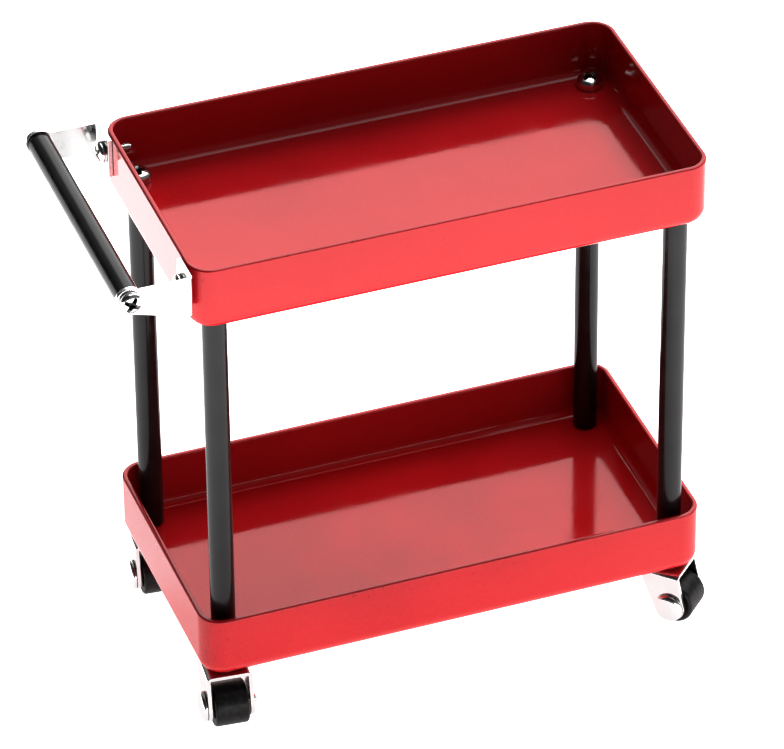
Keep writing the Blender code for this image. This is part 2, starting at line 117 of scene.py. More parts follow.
PIVOT_HEAD_EDGE = 0.35 * MM

# ---- how far the screws are turned, in radians ----
POST_SCREW_TURN = 0.4
POST_SCREW_STEP = 1.1
BRACKET_SCREW_TURN = 0.5
BRACKET_SCREW_STEP = 0.35
HANDLE_SCREW_TURN = 1.0

# ---- fineness of the meshes ----
CORNER_STEPS = 10
TRAY_BEND_STEPS = 8
RIM_STEPS = 4
DOME_STEPS = 10
TAIL_STEPS = 8
CHAMFER_STEPS = 4
TREAD_STEPS = 6
BRACKET_BEND_STEPS = (12, 8)  # outside and inside
BRACKET_END_STEPS = 40
FORK_BEND_STEPS = (10, 6)  # outside and inside
FORK_BOSS_STEPS = 32
HOLE_COLUMNS = 48
RING_COLUMNS = 48
ROD_COLUMNS = 64
WHEEL_COLUMNS = 96
SEEN_THREAD = {"columns": 40, "rows_per_turn": 8}
HIDDEN_THREAD = {"columns": 24, "rows_per_turn": 4}
SMOOTH_ANGLE = math.radians(50.0)
BEVEL_ANGLE = math.radians(35.0)
BEVEL_SEGMENTS = 3
MERGE_DISTANCE = 0.002 * MM
DEGENERATE = 0.001 * MM
TOUCHING = 0.01 * MM
THROUGH = 0.1  # half a cutter's length, more than anything that it goes through

# ---- patterns and colours, colours in linear light ----
NOISE_SPAN = (0.3, 0.7)  # most of a noise's values lie between these
SPECK_CORE = 0.6  # of a speck's size has its full colour
RED_DEEP = (0.48, 0.013, 0.019, 1.0)
RED_FRESH = (0.56, 0.017, 0.024, 1.0)
RED_GRAIN = (0.66, 0.05, 0.06, 1.0)
RED_DARK_FLECK = (0.05, 0.002, 0.003, 1.0)
RED_PALE_FLECK = (0.85, 0.12, 0.14, 1.0)
# the rim's colour: painted shade all round, and real wear where worn
RED_RIM_SHADE_AND_WEAR = (0.16, 0.004, 0.007, 1.0)
LACQUER_DEEP = (0.006, 0.006, 0.0065, 1.0)
LACQUER_PALE = (0.012, 0.0118, 0.012, 1.0)
LACQUER_DUST = (0.16, 0.15, 0.14, 1.0)
PLATE_DEEP = (0.60, 0.60, 0.60, 1.0)
PLATE_PALE = (0.66, 0.66, 0.655, 1.0)
PLATE_STAIN = (0.55, 0.5, 0.45, 1.0)
# painted shade for the screws' recesses
RECESS_SHADE = (0.012, 0.012, 0.012, 1.0)
WHEEL_DEEP = (0.003, 0.003, 0.003, 1.0)
WHEEL_PALE = (0.007, 0.007, 0.007, 1.0)
WHEEL_SCUFF = (0.06, 0.057, 0.053, 1.0)
FLOOR_WHITE = (0.80, 0.80, 0.80, 1.0)
WHITE = (1.0, 1.0, 1.0, 1.0)

# ---- view of the cart, angles in degrees, lens and sensor in millimetres ----
VIEW_AZIMUTH = 19.71
VIEW_ELEVATION = 35.93
VIEW_ROLL = -0.565
VIEW_DISTANCE = 1.07522
VIEW_LENS = 277.3
VIEW_SENSOR = 36.0
VIEW_NEAREST = 0.05
VIEW_AIM = Vector((-3.70, -2.00, 52.02)) * MM  # from the point on the floor under the trays' middle

# ---- floor and light ----
FLOOR_HALF = 40.0
FLOOR_DROP = 0.01 * MM
FLOOR_ROUGHNESS = 0.9
FLOOR_GLOW_FROM = 0.06  # the floor's glow, painted light, grows between these distances from the world's origin; the dimmer glow near the cart is a painted shadow of it
FLOOR_GLOW_TO = 0.15
FLOOR_GLOW_NEAR = 0.98
FLOOR_GLOW_FAR = 1.9

SKY_AIM = (0.30, 0.75, 0.55)  # the sky is brightest in this direction
SKY_SPREAD = (0.50, 0.93)  # cosines of the angle from it at which the sky is darkest and brightest
SKY_STRENGTH = (0.25, 3.3)
SKY_SIDE = (-0.12, 0.16)  # the sky also fades towards -X, between these
SKY_SIDE_SHARE = (0.2, 1.0)

LIT_HEIGHT = 0.05  # the lamps aim at this height over the trays' middle
OVERHEAD_PLACE = Vector((0.25, 0.15, 0.9))  # from the lit point
OVERHEAD_SIZE = (0.9, 0.8)
OVERHEAD_POWER = 3.3
LOW_FRONT_ASIDE = 0.1  # a long low lamp in front of the cart, which the camera doesn't see
LOW_FRONT_AHEAD = 0.5
LOW_FRONT_HEIGHT = 0.08
LOW_FRONT_SIZE = (0.7, 0.14)
LOW_FRONT_POWER = 1.25

# (in, out) points in linear light: a little more contrast in the darks and middle tones
TONE_CURVE = ((0.04, 0.017), (0.10, 0.058), (0.33, 0.20), (0.55, 0.47), (0.75, 0.83))

CORNERS = ("front_left", "back_left", "front_right", "back_right")
JOINTS = {joint["name"]: joint for joint in frame["joints"]}
TRAY_MIDDLE = (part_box("upper_tray")[0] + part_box("upper_tray")[1]) / 2
BODY_OF = {node: body for body, nodes in frame["record"]["behaviour"]["bodies"].items() for node in nodes}
SLOT_OF = {subpart["node"]: subpart["material_slot"] for subpart in frame["record"]["subparts"]}


# ================= materials =================

class Nodes:
    """Short names for making the nodes of one material or of the world."""

    def __init__(self, tree):
        self.tree = tree

    def new(self, kind, settings=None, **inputs):
        node = self.tree.nodes.new(kind)
        for key, value in (settings or {}).items():
            setattr(node, key, value)
        for key, value in inputs.items():
            self.feed(node.inputs[key.replace("_", " ")], value)
        return node

    def feed(self, socket, value):
        if isinstance(value, bpy.types.NodeSocket):
            self.tree.links.new(value, socket)
        else:
            socket.default_value = value

    def ramp(self, value, low, high, bottom=0.0, top=1.0):
        node = self.new("ShaderNodeMapRange", {"interpolation_type": "SMOOTHSTEP"}, Value=value)
        for key, number in (("From Min", low), ("From Max", high), ("To Min", bottom), ("To Max", top)):
            node.inputs[key].default_value = number
        return node.outputs[0]

    def spread(self, noise, bottom=0.0, top=1.0):
        """A ramp over the part of a noise's range that most of its values lie in."""
        return self.ramp(noise, *NOISE_SPAN, bottom, top)

    def math(self, operation, a, b):
        node = self.new("ShaderNodeMath", {"operation": operation})
        self.feed(node.inputs[0], a)
        self.feed(node.inputs[1], b)
        return node.outputs[0]

    def mix(self, factor, a, b):
        node = self.new("ShaderNodeMix", {"data_type": "RGBA"})
        self.feed(node.inputs[0], factor)
        self.feed(node.inputs[6], a)
        self.feed(node.inputs[7], b)
        return node.outputs[2]


class Finish(Nodes):
    """A new material, with its patterns laid in the piece's own coordinates."""

    def __init__(self, name):
        self.material = bpy.data.materials.new(name)
        self.material.use_nodes = True
        super().__init__(self.material.node_tree)
        self.shader = self.tree.nodes["Principled BSDF"]
        self.place = self.new("ShaderNodeTexCoord").outputs["Object"]

    def noise(self, feature, detail=2.0, distortion=0.0):
        """Noise whose features are about this many metres across."""
        settings = {"Scale": 1.0 / feature, "Detail": detail, "Distortion": distortion}
        return self.new("ShaderNodeTexNoise", Vector=self.place, **settings).outputs["Fac"]

    def specks(self, spacing, share, size):
        """Sparse round specks: 1 inside, 0 outside. share is the part of the cells that hold one."""
        cells = self.new("ShaderNodeTexVoronoi", Vector=self.place, Scale=1.0 / spacing)
        dot = self.ramp(cells.outputs["Distance"], size, size * SPECK_CORE)
        chosen = self.new("ShaderNodeSeparateColor", Color=cells.outputs["Color"]).outputs[0]
        return self.math("MULTIPLY", dot, self.math("LESS_THAN", chosen, share))

    def marked(self, name):
        """A number that the mesh holds at each of its points."""
        return self.new("ShaderNodeAttribute", {"attribute_name": name}).outputs["Fac"]

    def bump(self, *layers):
        """layers are (height, distance in metres)."""
        normal = None
        for height, distance in layers:
            node = self.new("ShaderNodeBump", Strength=1.0, Distance=distance, Height=height)
            if normal:
                self.feed(node.inputs["Normal"], normal)
            normal = node.outputs[0]
        self.feed(self.shader.inputs["Normal"], normal)

    def set(self, **inputs):
        for key, value in inputs.items():
            self.feed(self.shader.inputs[key.replace("_", " ")], value)


def red_enamel():
    """Baked enamel with a fine grain, sparse dark and pale flecks, a slight wave, and a rim darkened all round as
    painted shade and further in worn patches.
    """
    n = Finish("red_enamel_baked")
    tone = n.noise(feature=30 * MM)
    grain = n.noise(feature=0.4 * MM, detail=3.0)
    peel = n.noise(feature=0.75 * MM, detail=1.0)
    wave = n.noise(feature=14 * MM, detail=0.0)
    smudge = n.noise(feature=9 * MM, detail=3.0, distortion=0.6)
    dark_flecks = n.math("MULTIPLY", n.specks(spacing=2.6 * MM, share=0.03, size=0.022), 0.7)
    pale_flecks = n.math("MULTIPLY", n.specks(spacing=2.3 * MM, share=0.06, size=0.03), 0.4)
    rim = n.marked("rim")
    wear = n.ramp(n.noise(feature=1.1 * MM, detail=4.0), low=0.6, high=0.72, top=0.6)
    worn = n.math("MULTIPLY", rim, wear)
    # painted shade darkens the whole rim band; the worn patches on it are real wear and darker still
    rim_painted_shade_and_wear = n.math("ADD", n.math("MULTIPLY", rim, 0.25), n.math("MULTIPLY", worn, 0.5))

    colour = n.mix(n.spread(tone), RED_DEEP, RED_FRESH)
    colour = n.mix(n.spread(grain, top=0.16), colour, RED_GRAIN)
    colour = n.mix(dark_flecks, colour, RED_DARK_FLECK)
    colour = n.mix(pale_flecks, colour, RED_PALE_FLECK)
    colour = n.mix(rim_painted_shade_and_wear, colour, RED_RIM_SHADE_AND_WEAR)
    smooth = n.ramp(smudge, low=0.35, high=0.7, bottom=0.07, top=0.12)
    n.set(Base_Color=colour, Roughness=n.math("ADD", smooth, n.math("MULTIPLY", worn, 0.15)), IOR=1.47)
    n.bump((wave, 0.05 * MM), (peel, 0.006 * MM), (grain, 0.0015 * MM))
    return n.material


def black_lacquer():
    """Glossy black with a little dust in it."""
    n = Finish("black_lacquer_gloss")
    tone = n.noise(feature=7 * MM, detail=3.0)
    dust = n.math("MULTIPLY", n.specks(spacing=1.7 * MM, share=0.12, size=0.05), 0.25)
    peel = n.noise(feature=0.8 * MM, detail=1.0)
    wave = n.noise(feature=9 * MM, detail=0.0)

    colour = n.mix(n.spread(tone), LACQUER_DEEP, LACQUER_PALE)
    colour = n.mix(dust, colour, LACQUER_DUST)
    roughness = n.ramp(n.noise(feature=2.2 * MM, detail=4.0), low=0.3, high=0.75, bottom=0.16, top=0.26)
    n.set(Base_Color=colour, Roughness=roughness, IOR=1.45)
    n.bump((peel, 0.004 * MM), (wave, 0.02 * MM))
    return n.material


def bright_plate():
    """Nickel plate with faint stains, and painted shade inside the screws' recesses."""
    n = Finish("bright_nickel_plate")
    tone = n.noise(feature=5 * MM)
    stain = n.ramp(n.noise(feature=1.3 * MM, detail=4.0), low=0.6, high=0.78, top=0.22)
    # painted shade: points deep in a recess are coloured dark, as shade falls there
    shade = n.ramp(n.marked("recess"), low=0.0, high=0.7, top=0.96)
    polish = n.noise(feature=0.3 * MM)
    wave = n.noise(feature=5 * MM, detail=0.0)

    colour = n.mix(n.spread(tone), PLATE_DEEP, PLATE_PALE)
    colour = n.mix(stain, colour, PLATE_STAIN)
    colour = n.mix(shade, colour, RECESS_SHADE)
    roughness = n.math("ADD", n.spread(polish, 0.17, 0.21), n.math("MULTIPLY", stain, 0.4))
    n.set(Base_Color=colour, Metallic=1.0, Roughness=roughness)
    n.bump((wave, 0.006 * MM))
    return n.material


def black_plastic():
    """Moulded black plastic, scuffed on the tread."""
    n = Finish("black_wheel_plastic")
    tone = n.noise(feature=2.5 * MM)
    scuffs = n.ramp(n.noise(feature=0.9 * MM, detail=5.0), low=0.45, high=0.75, top=0.3)
    scuff = n.math("MULTIPLY", n.marked("tread"), scuffs)
    sheen = n.noise(feature=0.6 * MM, detail=3.0)
    texture = n.noise(feature=0.22 * MM, detail=3.0)

    colour = n.mix(n.spread(tone), WHEEL_DEEP, WHEEL_PALE)
    colour = n.mix(scuff, colour, WHEEL_SCUFF)
    roughness = n.math("ADD", n.spread(sheen, 0.36, 0.48), n.math("MULTIPLY", scuff, 0.25))
    n.set(Base_Color=colour, Roughness=roughness, IOR=1.4)
    n.bump((texture, 0.008 * MM), (scuff, 0.01 * MM))
    return n.material


MATERIALS = {
    "red_enamel": red_enamel(),
    "black_lacquer": black_lacquer(),
    "bright_plate": bright_plate(),
    "black_plastic": black_plastic(),
}


# ================= making meshes =================

def linked_object(name, data):
    obj = bpy.data.objects.new(name, data)
    bpy.context.scene.collection.objects.link(obj)
    return obj


def cut(mesh, cutters, operation="DIFFERENCE"):
    """mesh with every cutter mesh taken away from it, or kept only where they overlap."""
    obj = linked_object(mesh.name, mesh)
    extras = []
    for cutter in cutters:
        other = linked_object(cutter.name, cutter)
        modifier = obj.modifiers.new("cut", "BOOLEAN")
        modifier.operation = operation
        modifier.object = other
        modifier.solver = "EXACT"
        extras.append(other)
    bpy.context.view_layer.update()
    graph = bpy.context.evaluated_depsgraph_get()
    result = bpy.data.meshes.new_from_object(obj.evaluated_get(graph))
    for other in extras + [obj]:
        bpy.data.objects.remove(other, do_unlink=True)
    bm = bmesh.new()
    bm.from_mesh(result)
    bmesh.ops.remove_doubles(bm, verts=bm.verts, dist=MERGE_DISTANCE)
    bmesh.ops.dissolve_degenerate(bm, edges=bm.edges, dist=DEGENERATE)
    bm.to_mesh(result)
    bm.free()
    return result


def moved(mesh, matrix):
    mesh.transform(matrix)
    return mesh


def from_bmesh(bm, name):
    bmesh.ops.recalc_face_normals(bm, faces=bm.faces)
    mesh = bpy.data.meshes.new(name)
    bm.to_mesh(mesh)
    bm.free()
    return mesh


def revolve(name, rows, columns, closed=False):
    """A solid of revolution about Z from rows of (radius, z) or (radius, z, thread depth).

    A row with a thread depth follows a helix, so that the surface carries a screw thread.
    A first or last row of radius 0 is a pole. closed joins the last row to the first, as in a ring.
    """
    bm = bmesh.new()
    rings = []
    for row in rows:
        radius, z = row[0], row[1]
        depth = row[2] if len(row) > 2 else 0.0
        if radius < DEGENERATE:
            rings.append([bm.verts.new((0.0, 0.0, z))])
            continue
        ring = []
        for i in range(columns):
            turn = i / columns
            ridge = abs(2.0 * ((z / THREAD_PITCH + turn) % 1.0) - 1.0)
            r = radius - depth * min(1.0, THREAD_STEEPNESS * ridge)
            ring.append(bm.verts.new((r * math.cos(math.tau * turn), r * math.sin(math.tau * turn), z)))
        rings.append(ring)
    pairs = list(zip(rings, rings[1:]))
    if closed:
        pairs.append((rings[-1], rings[0]))
    for upper, lower in pairs:
        for i in range(columns):
            j = (i + 1) % columns
            above = [upper[i % len(upper)], upper[j % len(upper)]]
            below = [lower[j % len(lower)], lower[i % len(lower)]]
            distinct = list(dict.fromkeys(above + below))
            if len(distinct) > 2:
                bm.faces.new(distinct)
    return from_bmesh(bm, name)


def prism(name, outline, low, high):
    """A flat outline of (x, y) points, made into a closed prism from z = low to z = high."""
    bm = bmesh.new()
    bottom = [bm.verts.new((x, y, low)) for x, y in outline]
    top = [bm.verts.new((x, y, high)) for x, y in outline]
    bm.faces.new(bottom)
    bm.faces.new(top)
    for i in range(len(outline)):
        j = (i + 1) % len(outline)
        bm.faces.new((bottom[i], bottom[j], top[j], top[i]))
    return from_bmesh(bm, name)


def arc(centre, radius, start, end, steps):
    """Points on an arc, angles in degrees from +x."""
    found = []
    for i in range(steps + 1):
        angle = math.radians(start + (end - start) * i / steps)
        found.append((centre[0] + radius * math.cos(angle), centre[1] + radius * math.sin(angle)))
    return found


def mirrored(rows):
    """The same rows below z = 0, in reverse order, so that they follow on from the rows above it."""
    return [(radius, -z) for radius, z in reversed(rows)]


def cylinder(radius, centre, depth, axis="Z"):
    """A round cutter along one axis of the world."""
    rows = [(0.0, depth / 2), (radius, depth / 2), (radius, -depth / 2), (0.0, -depth / 2)]
    turns = {
        "X": Matrix.Rotation(math.pi / 2, 4, "Y"),
        "Y": Matrix.Rotation(math.pi / 2, 4, "X"),
        "Z": Matrix.Identity(4),
    }
    return moved(revolve("hole", rows, HOLE_COLUMNS), Matrix.Translation(centre) @ turns[axis])


def attribute(mesh, name, value_at):
    """A number per vertex that the materials read."""
    data = mesh.attributes.new(name, "FLOAT", "POINT").data
    for vertex, item in zip(mesh.vertices, data):
        item.value = value_at(vertex.co)


def piece(node, mesh, bevel=0.0):
    """The finished piece that stands for one CAD node."""
    slot = SLOT_OF[node]
    mesh.materials.clear()
    mesh.materials.append(MATERIALS[slot])
    for polygon in mesh.polygons:
        polygon.use_smooth = True
    mesh.name = node + "_finished"
    obj = linked_object(node + "_finished", mesh)
    if bevel:
        edge = obj.modifiers.new("edge", "BEVEL")
        edge.width = bevel
        edge.segments = BEVEL_SEGMENTS
        edge.limit_method = "ANGLE"
        edge.angle_limit = BEVEL_ANGLE
        edge.miter_outer = "MITER_ARC"
    else:
        mesh.set_sharp_from_angle(angle=SMOOTH_ANGLE)
    normals = obj.modifiers.new("normals", "WEIGHTED_NORMAL")
    normals.keep_sharp = True
    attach(obj, BODY_OF[node])
    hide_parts(node)
    return obj


# ================= trays =================

def rounded_loop(bm, half_x, half_y, radius, z):
    """A rounded rectangle of points at height z, centred on the origin."""
    loop = []
    for sx, sy, start in ((1, 1, 0.0), (-1, 1, 90.0), (-1, -1, 180.0), (1, -1, 270.0)):
        centre = (sx * (half_x - radius), sy * (half_y - radius))
        loop += [bm.verts.new((x, y, z)) for x, y in arc(centre, radius, start, start + 90.0, CORNER_STEPS)]
    return loop


def tray(node, holes):
    """Rounded loops, one for each (inset, z) point of the wall's section.

    The section runs from the underside up the outside, over the rim and down the inside to the floor.
    """
    low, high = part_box(node)
    half_x, half_y, height = (high.x - low.x) / 2, (high.y - low.y) / 2, high.z - low.z
    bend, inner, rim = TRAY_BOTTOM_RADIUS, TRAY_BOTTOM_RADIUS - SHEET, RIM_ROUNDING
    outer_bend = arc((0.0, 0.0), bend, 0.0, 90.0, TRAY_BEND_STEPS)
    inner_bend = arc((0.0, 0.0), inner, 90.0, 0.0, TRAY_BEND_STEPS)
    section = [(bend - x, bend - z) for z, x in outer_bend]
    section += arc((rim, height - rim), rim, 180.0, 90.0, RIM_STEPS)
    section += arc((SHEET - rim, height - rim), rim, 90.0, 0.0, RIM_STEPS)
    section += [(bend - x, TRAY_FLOOR + inner - z) for z, x in inner_bend]
    bm = bmesh.new()
    loops = [
        rounded_loop(bm, half_x - inset, half_y - inset, TRAY_CORNER - inset, z) for inset, z in section
    ]
    for outer, following in zip(loops, loops[1:]):
        for i in range(len(outer)):
            j = (i + 1) % len(outer)
            bm.faces.new((outer[i], outer[j], following[j], following[i]))
    bm.faces.new(loops[0])
    bm.faces.new(loops[-1])
    middle = Vector(((low.x + high.x) / 2, (low.y + high.y) / 2, low.z))
    mesh = moved(from_bmesh(bm, node), Matrix.Translation(middle))
    mesh = cut(mesh, holes)
    # the rim band, which the enamel darkens with painted shade and with wear
    attribute(mesh, "rim", lambda co: 1.0 if co.z > high.z - RIM_BAND * rim else 0.0)
    piece(node, mesh)


def post_points():
    """Each corner with the middle of its post."""
    for corner in CORNERS:
        low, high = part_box(f"{corner}_post")
        yield corner, (low + high) / 2


def trays():
    bolt = SCREW_RADIUS + HOLE_GAP
    for node in ("lower_tray", "upper_tray"):
        floor_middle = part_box(node)[0].z + TRAY_FLOOR / 2
        holes = [
            cylinder(bolt, (middle.x, middle.y, floor_middle), 3 * TRAY_FLOOR) for _, middle in post_points()
        ]
        if node == "upper_tray":
            for end in ("front", "back"):
                low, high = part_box(f"bracket_screw_{end}")
                wall = (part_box(node)[0].x + SHEET / 2, (low.y + high.y) / 2, (low.z + high.z) / 2)
                holes.append(cylinder(bolt, wall, 4 * SHEET, "X"))
        tray(node, holes)


# ================= screws and round parts =================

def dome(radius, edge, height, steps=DOME_STEPS):
    """Profile of a domed head standing on z = 0, from its top to its foot, with its foot's edge eased."""
    rise = height - edge
    points = []
    for i in range(steps + 1):
        angle = math.pi / 2 * (1 - i / steps)
        across = radius * math.cos(angle) ** HEAD_FULLNESS if i else 0.0
        points.append((across, edge + rise * math.sin(angle)))
    return points + [(radius, HEAD_FOOT_EASE), (radius - HEAD_FOOT_EASE, 0.0)]


def recess(top):
    """The cross recess as a cutter: a cross that narrows and shortens towards the bottom."""
    half = RECESS_WIDTH / 2
    corner = half * RECESS_CORNER
    quarter = [(RECESS_REACH, -half), (RECESS_REACH, half), (corner, corner)]
    outline = []
    for turn in range(4):
        rotation = Matrix.Rotation(math.pi / 2 * turn, 2)
        outline += [tuple(rotation @ Vector(point)) for point in quarter]
    mesh = prism("recess", outline, top - RECESS_DEPTH, top + RECESS_DEPTH)
    for vertex in mesh.vertices:
        spread = 1.0 - RECESS_TAPER if vertex.co.z < top else 1.0 + RECESS_TAPER
        vertex.co.x *= spread
        vertex.co.y *= spread
    return mesh


def thread_rows(top, bottom, radius, per_turn):
    """Rows of a thread, with a short chamfered tip at the bottom."""
    count = max(4, round((top - bottom) / THREAD_PITCH * per_turn))
    rows = []
    for i in range(count + 1):
        z = top + (bottom - top) * i / count
        left = z - bottom
        reach = min(1.0, TIP_SHARE + (1.0 - TIP_SHARE) * left / TIP_LENGTH)
        fade = min(1.0, (top - z) / THREAD_PITCH, THREAD_AT_TIP + left / THREAD_PITCH)
        rows.append((radius * reach, z, THREAD_DEPTH * max(0.0, fade)))
    return rows + [(0.0, bottom)]


def screw(node, head, length, matrix, shoulder=None, fineness=HIDDEN_THREAD):
    """A screw about Z whose head stands on z = 0.

    head is (radius, edge, height) and shoulder is (radius, length).
    """
    head_height = head[2]
    rows = dome(*head)
    start = 0.0
    if shoulder:
        start = -shoulder[1]
        rows += [(shoulder[0], 0.0), (shoulder[0], start)]
    rows += [(SCREW_RADIUS, start)]
    rows += thread_rows(start - THREAD_START, -length, SCREW_RADIUS, fineness["rows_per_turn"])
    mesh = cut(revolve(node, rows, fineness["columns"]), [recess(head_height)])
    shaded = head_height - RECESS_SHADE_LEVEL * RECESS_DEPTH

    def in_recess_painted_shade(co):
        near = co.xy.length < RECESS_REACH and abs(co.z - shaded) < RECESS_SHADE_REACH * RECESS_DEPTH
        return 1.0 if near and co.z > TOUCHING else 0.0

    # marks the points deep in the recess, which the plate colours dark as painted shade
    attribute(mesh, "recess", in_recess_painted_shade)
    piece(node, moved(mesh, matrix))


def facing(origin, axis):
    """The frame of a screw at origin whose head stands up along axis."""
    turn = Vector((0.0, 0.0, 1.0)).rotation_difference(Vector(axis))
    return Matrix.Translation(origin) @ turn.to_matrix().to_4x4()


def tapped_rod(node, radius, half, depth, matrix):
    """A rod about Z with a blind hole in each end."""
    hole = SCREW_RADIUS + THREAD_GAP
    edge = arc((radius - POST_CHAMFER, half - POST_CHAMFER), POST_CHAMFER, 90.0, 0.0, CHAMFER_STEPS)
    upper = [(0.0, half - depth), (hole, half - depth), (hole, half)] + edge
    piece(node, moved(revolve(node, upper + mirrored(upper), ROD_COLUMNS), matrix))


def posts():
    for index, (corner, middle) in enumerate(post_points()):
        low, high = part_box(f"{corner}_post")
        radius, half = (high.y - low.y) / 2, (high.z - low.z) / 2
        tapped_rod(f"{corner}_post", radius, half, THREAD_IN_POST + TIP_ROOM, Matrix.Translation(middle))

        low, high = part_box(f"{corner}_post_screw")
        head = ((high.y - low.y) / 2, POST_HEAD_EDGE, POST_HEAD_HEIGHT)
        seat = (middle.x, middle.y, high.z - POST_HEAD_HEIGHT)
        turn = Matrix.Rotation(POST_SCREW_TURN + POST_SCREW_STEP * index, 4, "Z")
        screw(f"{corner}_post_screw", head, seat[2] - low.z, facing(seat, (0, 0, 1)) @ turn)


# ================= push handle =================

def bracket(node, side):
    """A strip bent from the arm to the tab on the tray's wall, then trimmed to its side view."""
    low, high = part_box(node)
    face = side * (high.y if side > 0 else low.y)
    wall, tab = high.x, (low.y if side > 0 else -high.y)
    bend = (wall - BRACKET_BEND, face - BRACKET_BEND)
    plan = [(low.x, face - BRACKET_SHEET), (low.x, face)]
    plan += arc(bend, BRACKET_BEND, 90.0, 0.0, BRACKET_BEND_STEPS[0])
    plan += [(wall, tab), (wall - BRACKET_SHEET, tab)]
    plan += arc(bend, BRACKET_BEND - BRACKET_SHEET, 0.0, 90.0, BRACKET_BEND_STEPS[1])
    strip = prism(node, [(x, side * y) for x, y in plan], low.z - MM, high.z + MM)

    bar_low, bar_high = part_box("handle_bar")
    eye = ((bar_low.x + bar_high.x) / 2, (bar_low.z + bar_high.z) / 2)
    bolt_low, bolt_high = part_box("bracket_screw_front" if side < 0 else "bracket_screw_back")
    bolt_z = (bolt_low.z + bolt_high.z) / 2
    flat_top = 2 * bolt_z - low.z
    foot = (wall - BRACKET_BEND, low.z)
    slope = Vector((foot[0] - eye[0], foot[1] - eye[1]))
    tangent = math.degrees(math.acos(BRACKET_END_RADIUS / slope.length))
    touch = math.degrees(math.atan2(slope.y, slope.x)) - tangent
    crown = math.degrees(math.asin(min(1.0, (flat_top - eye[1]) / BRACKET_END_RADIUS)))
    view = [(wall + BRACKET_SHEET, flat_top)]
    view += arc(eye, BRACKET_END_RADIUS, crown, 360.0 + touch, BRACKET_END_STEPS)
    view += [foot, (wall + BRACKET_SHEET, low.z)]
    side_view = moved(prism("view", view, -THROUGH, THROUGH), Matrix.Rotation(math.pi / 2, 4, "X"))
    mesh = cut(strip, [side_view], "INTERSECT")

    bolt, through = SCREW_RADIUS + HOLE_GAP, 4 * BRACKET_SHEET
    mesh = cut(mesh, [
        cylinder(bolt, (eye[0], side * face, eye[1]), through, "Y"),
        cylinder(bolt, (wall, (bolt_low.y + bolt_high.y) / 2, bolt_z), through, "X"),
    ])
    piece(node, mesh, bevel=BRACKET_EASE)


def handle():
    for side, end in ((-1, "front"), (1, "back")):
        bracket(f"handle_bracket_{end}", side)

        low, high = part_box(f"bracket_screw_{end}")
        head = ((high.z - low.z) / 2, HEAD_EDGE, HEAD_HEIGHT)
        seat = (low.x + HEAD_HEIGHT, (low.y + high.y) / 2, (low.z + high.z) / 2)
        turn = Matrix.Rotation(BRACKET_SCREW_TURN + side * BRACKET_SCREW_STEP, 4, "Z")
        matrix = facing(seat, (-1, 0, 0)) @ turn
        screw(f"bracket_screw_{end}", head, high.x - seat[0], matrix, fineness=SEEN_THREAD)

        low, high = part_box(f"handle_screw_{end}")
        head = ((high.z - low.z) / 2, HEAD_EDGE, HEAD_HEIGHT)
        outer = high.y if side > 0 else low.y
        seat = ((low.x + high.x) / 2, outer - side * HEAD_HEIGHT, (low.z + high.z) / 2)
        matrix = facing(seat, (0, side, 0)) @ Matrix.Rotation(HANDLE_SCREW_TURN, 4, "Z")
        screw(f"handle_screw_{end}", head, high.y - low.y - HEAD_HEIGHT, matrix, fineness=SEEN_THREAD)

    low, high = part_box("handle_bar")
    radius, half = (high.z - low.z) / 2, (high.y - low.y) / 2
    lying = Matrix.Translation((low + high) / 2) @ Matrix.Rotation(math.pi / 2, 4, "X")
    tapped_rod("handle_bar", radius, half, THREAD_IN_BAR + TIP_ROOM, lying)


# ================= casters =================
# Fork, wheel and axle are built in the caster's own frame: swivel axis at the origin, trailing along +X,
# axle along Y. place puts that frame in the world, at rest.

def local_points(node, place):
    """A CAD node's points in the caster's own frame."""
    back = place.inverted()
    return [back @ vertex.co for vertex in frame["nodes"][node].data.vertices]


def fork(node, place, trail, axle_z, fork_top):
    """A U-shaped channel trimmed to its side view, which tapers from the bend to a round boss."""
    points = local_points(node, place)
    half = max(abs(co.y) for co in points)
    back = min(co.x for co in points)
    shoulder = fork_top - FORK_BEND
    front = max(co.x for co in points if co.z > shoulder)

    left, right = (FORK_BEND - half, shoulder), (half - FORK_BEND, shoulder)
    foot = axle_z - FORK_BOSS - MM
    inner_bend = FORK_BEND - FORK_SHEET
    outer_steps, inner_steps = FORK_BEND_STEPS
    section = [(-half, foot)]
    section += arc(left, FORK_BEND, 180.0, 90.0, outer_steps)
    section += arc(right, FORK_BEND, 90.0, 0.0, outer_steps)
    section += [(half, foot), (half - FORK_SHEET, foot)]
    section += arc(right, inner_bend, 0.0, 90.0, inner_steps)
    section += arc(left, inner_bend, 90.0, 180.0, inner_steps)
    section += [(FORK_SHEET - half, foot)]
    # the section's x goes across, its y up and its z ahead
    stand = Matrix(((0, 0, 1, 0), (1, 0, 0, 0), (0, 1, 0, 0), (0, 0, 0, 1)))
    channel = moved(prism("channel", section, back - MM, trail + FORK_BOSS + MM), stand)

    touches = []
    for edge_x, turn in ((back, 1.0), (front, -1.0)):
        to_edge = Vector((edge_x - trail, shoulder - axle_z))
        away = math.degrees(math.atan2(to_edge.y, to_edge.x))
        touches.append(away + turn * math.degrees(math.acos(FORK_BOSS / to_edge.length)))
    view = [(front, shoulder), (front, fork_top + MM), (back, fork_top + MM), (back, shoulder)]
    view += arc((trail, axle_z), FORK_BOSS, touches[0], 360.0 + touches[1], FORK_BOSS_STEPS)
    side_view = moved(prism("view", view, -2 * half, 2 * half), Matrix.Rotation(math.pi / 2, 4, "X"))
    mesh = cut(channel, [side_view], "INTERSECT")
    mesh = cut(mesh, [
        cylinder(AXLE_RADIUS + THREAD_GAP, (trail, 0.0, axle_z), 4 * half, "Y"),
        cylinder(PIVOT_SHOULDER_RADIUS + HOLE_GAP, (0.0, 0.0, fork_top), 4 * FORK_SHEET),
    ])
    piece(node, moved(mesh, place), bevel=FORK_EASE)


